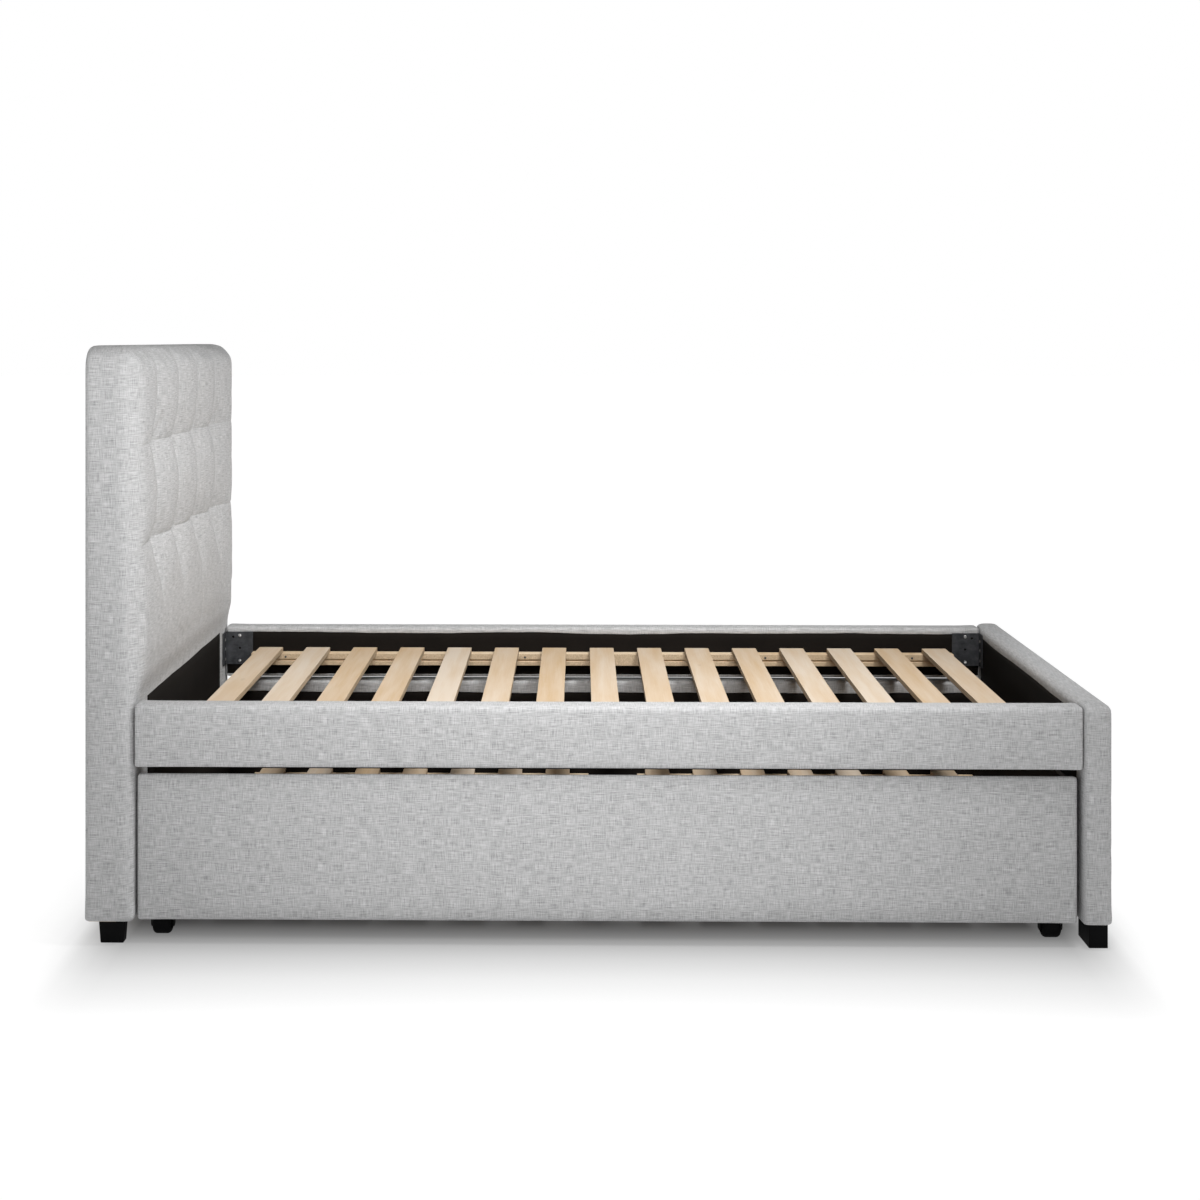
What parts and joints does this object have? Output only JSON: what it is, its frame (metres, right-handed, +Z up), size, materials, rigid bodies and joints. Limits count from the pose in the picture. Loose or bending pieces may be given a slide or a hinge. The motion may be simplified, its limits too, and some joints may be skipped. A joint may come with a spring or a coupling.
{
  "type": "trundle bed",
  "caption": "Upholstered single bed with a tufted headboard, slatted base and a trundle bed on fixed castors that rolls out from under its long side.",
  "frame": {"origin": "on the floor under the middle of the bed with the trundle stowed", "axes": "+X along the bed from the headboard to the footboard, -Y the long side the trundle rolls out of, +Z up"},
  "size_m": [2.068, 1.05, 1.206],
  "materials": {
    "fabric": "light grey heathered linen-look upholstery weave, matt",
    "lining": "black non-woven lining, matt",
    "timber": "plain board inside the upholstery",
    "birch": "pale birch plywood, sanded, satin",
    "pine": "planed pine, matt",
    "steel": "dark grey coated steel",
    "plastic": "black moulded plastic, satin"
  },
  "bodies": {
    "bed": {"headboard_frame": "timber", "headboard_cover": "fabric", "footboard": "fabric", "side_rail_front": "fabric", "slat_ledger_front": "pine", "head_foot_front": "plastic", "foot_foot_front": "plastic", "head_bracket_front": "steel", "foot_bracket_front": "steel", "side_rail_back": "fabric", "slat_ledger_back": "pine", "head_foot_back": "plastic", "foot_foot_back": "plastic", "head_bracket_back": "steel", "foot_bracket_back": "steel", "slat_01": "birch", "slat_02": "birch", "slat_03": "birch", "slat_04": "birch", "slat_05": "birch", "slat_06": "birch", "slat_07": "birch", "slat_08": "birch", "slat_09": "birch", "slat_10": "birch", "slat_11": "birch", "slat_12": "birch", "slat_13": "birch", "slat_14": "birch", "slat_15": "birch"},
    "trundle": {"trundle_end_head": "lining", "trundle_end_foot": "lining", "trundle_panel_front": "fabric", "trundle_ledger_front_1": "pine", "trundle_ledger_front_2": "pine", "castor_bracket_head_front": "plastic", "castor_bracket_foot_front": "plastic", "trundle_panel_back": "fabric", "trundle_ledger_back_1": "pine", "trundle_ledger_back_2": "pine", "castor_bracket_head_back": "plastic", "castor_bracket_foot_back": "plastic", "trundle_slat_01": "birch", "trundle_slat_02": "birch", "trundle_slat_03": "birch", "trundle_slat_04": "birch", "trundle_slat_05": "birch", "trundle_slat_06": "birch", "trundle_slat_07": "birch", "trundle_slat_08": "birch", "trundle_slat_09": "birch", "trundle_slat_10": "birch", "trundle_slat_11": "birch", "trundle_slat_12": "birch", "trundle_slat_13": "birch", "trundle_slat_14": "birch"},
    "wheel_head_front": {"wheel_head_front": "plastic"},
    "wheel_foot_front": {"wheel_foot_front": "plastic"},
    "wheel_head_back": {"wheel_head_back": "plastic"},
    "wheel_foot_back": {"wheel_foot_back": "plastic"}
  },
  "joints": [
    {"name": "trundle_slide", "type": "slide", "parent": "bed", "child": "trundle", "axis": [0, -1, 0], "range_m": [0, 1.05]},
    {"name": "wheel_head_front_spin", "type": "hinge", "parent": "trundle", "child": "wheel_head_front", "pos_m": [-0.893, -0.434, 0.025], "axis": [1, 0, 0], "continuous": true},
    {"name": "wheel_foot_front_spin", "type": "hinge", "parent": "trundle", "child": "wheel_foot_front", "pos_m": [0.9295, -0.434, 0.025], "axis": [1, 0, 0], "continuous": true},
    {"name": "wheel_head_back_spin", "type": "hinge", "parent": "trundle", "child": "wheel_head_back", "pos_m": [-0.893, 0.434, 0.025], "axis": [1, 0, 0], "continuous": true},
    {"name": "wheel_foot_back_spin", "type": "hinge", "parent": "trundle", "child": "wheel_foot_back", "pos_m": [0.9295, 0.434, 0.025], "axis": [1, 0, 0], "continuous": true}
  ],
  "couplings": [
    {"joint": "wheel_head_front_spin", "follows": "trundle_slide", "rad_per_m": 40},
    {"joint": "wheel_foot_front_spin", "follows": "trundle_slide", "rad_per_m": 40},
    {"joint": "wheel_head_back_spin", "follows": "trundle_slide", "rad_per_m": 40},
    {"joint": "wheel_foot_back_spin", "follows": "trundle_slide", "rad_per_m": 40}
  ]
}
